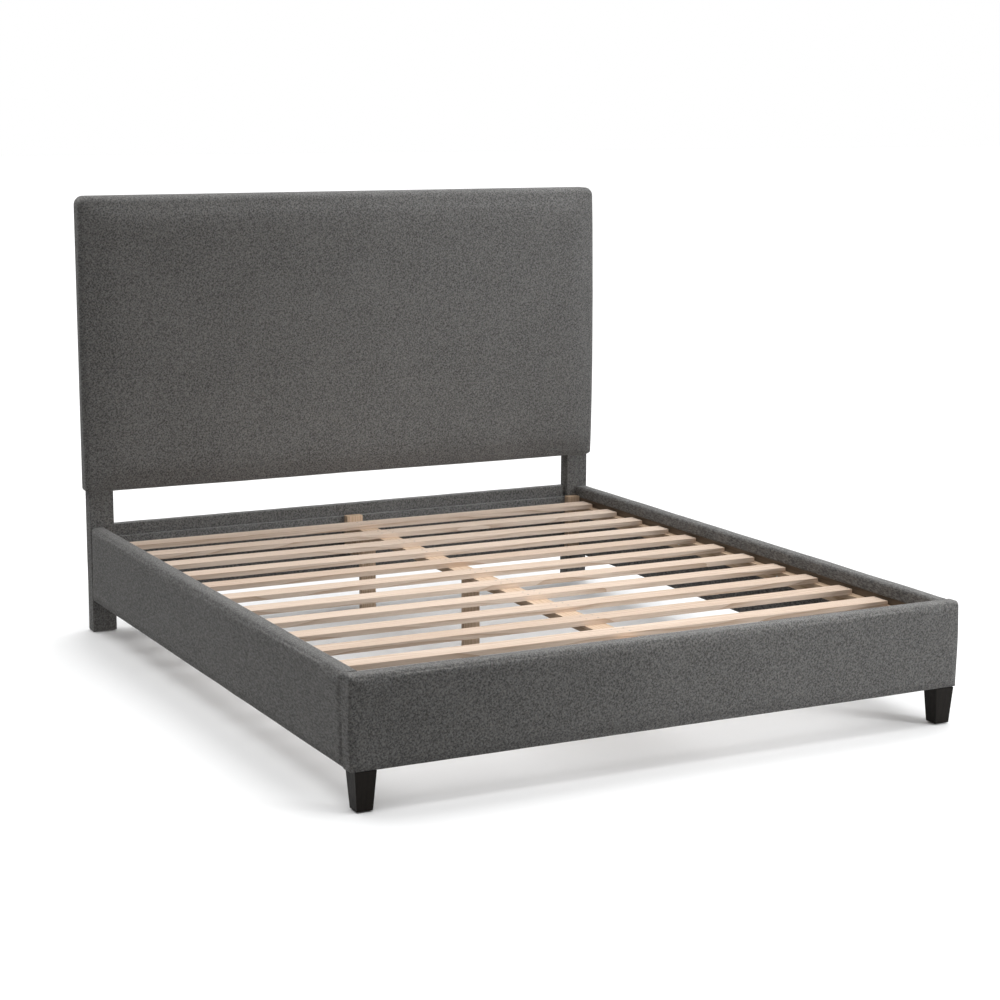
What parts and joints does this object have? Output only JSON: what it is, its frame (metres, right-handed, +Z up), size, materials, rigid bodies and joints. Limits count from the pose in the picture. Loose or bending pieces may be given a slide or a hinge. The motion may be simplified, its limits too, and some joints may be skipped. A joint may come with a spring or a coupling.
{
  "type": "upholstered headboard bed",
  "caption": "Fabric-covered bed frame with a tall padded headboard on posts, low padded rails, tapered front feet and a wooden slatted deck on a centre beam.",
  "frame": {"origin": "on the floor, under the middle of the bed's bounding box", "axes": "+X across the bed, +Y from the footboard towards the headboard, +Z up"},
  "size_m": [1.964, 2.2918, 1.492],
  "materials": {
    "cover_fabric": "charcoal tweed weave, matt",
    "foam": "cream polyurethane foam, open cell",
    "back_cloth": "thin black non-woven dust cloth",
    "frame_timber": "planed pine, unfinished",
    "face_board": "thin fibreboard, raw",
    "dowel_wood": "grooved beech",
    "support_wood": "sawn pine, unfinished",
    "slat_wood": "planed pale pine, unfinished",
    "leg_wood": "sawn pine, unfinished",
    "foot_wood": "dark espresso stain, satin",
    "zinc_steel": "bright zinc plate",
    "nail_steel": "bright wire, dulled",
    "staple_steel": "galvanised wire",
    "insert_brass": "turned, unplated",
    "glide_plastic": "black nylon"
  },
  "bodies": {
    "root": {"headboard_stile_left": "frame_timber", "headboard_stile_right": "frame_timber", "headboard_top_rail": "frame_timber", "headboard_bottom_rail": "frame_timber", "headboard_studs": "frame_timber", "headboard_face_board": "face_board", "headboard_foam": "foam", "headboard_edge_foam": "foam", "headboard_cover": "cover_fabric", "headboard_back_cloth": "back_cloth", "back_cloth_staples": "staple_steel", "post_cover_left": "cover_fabric", "post_cover_right": "cover_fabric", "head_crossrail_core": "frame_timber", "head_crossrail_cover": "cover_fabric", "frame_dowels": "dowel_wood", "head_ledger": "frame_timber", "head_ledger_cover": "cover_fabric", "head_beam_block": "support_wood", "head_corner_block_left": "support_wood", "head_corner_block_right": "support_wood", "side_rail_core_left": "frame_timber", "side_rail_core_right": "frame_timber", "side_rail_foam_left": "foam", "side_rail_foam_right": "foam", "side_rail_cover_left": "cover_fabric", "side_rail_cover_right": "cover_fabric", "slat_cleat_left": "support_wood", "slat_cleat_right": "support_wood", "footboard_core": "frame_timber", "footboard_foam": "foam", "footboard_cover": "cover_fabric", "foot_beam_block": "support_wood", "foot_corner_block_left": "support_wood", "foot_corner_block_right": "support_wood", "front_foot_left": "foot_wood", "front_foot_right": "foot_wood", "front_foot_bolts": "zinc_steel", "threaded_inserts": "insert_brass", "floor_glides": "glide_plastic", "centre_beam": "support_wood", "centre_leg_head": "leg_wood", "centre_leg_middle": "leg_wood", "rail_bolts": "zinc_steel", "rail_washers": "zinc_steel", "wood_screws": "zinc_steel", "slat_nails": "nail_steel", "slat_1": "slat_wood", "slat_2": "slat_wood", "slat_3": "slat_wood", "slat_4": "slat_wood", "slat_5": "slat_wood", "slat_6": "slat_wood", "slat_7": "slat_wood", "slat_8": "slat_wood", "slat_9": "slat_wood", "slat_10": "slat_wood", "slat_11": "slat_wood", "slat_12": "slat_wood"}
  },
  "joints": []
}
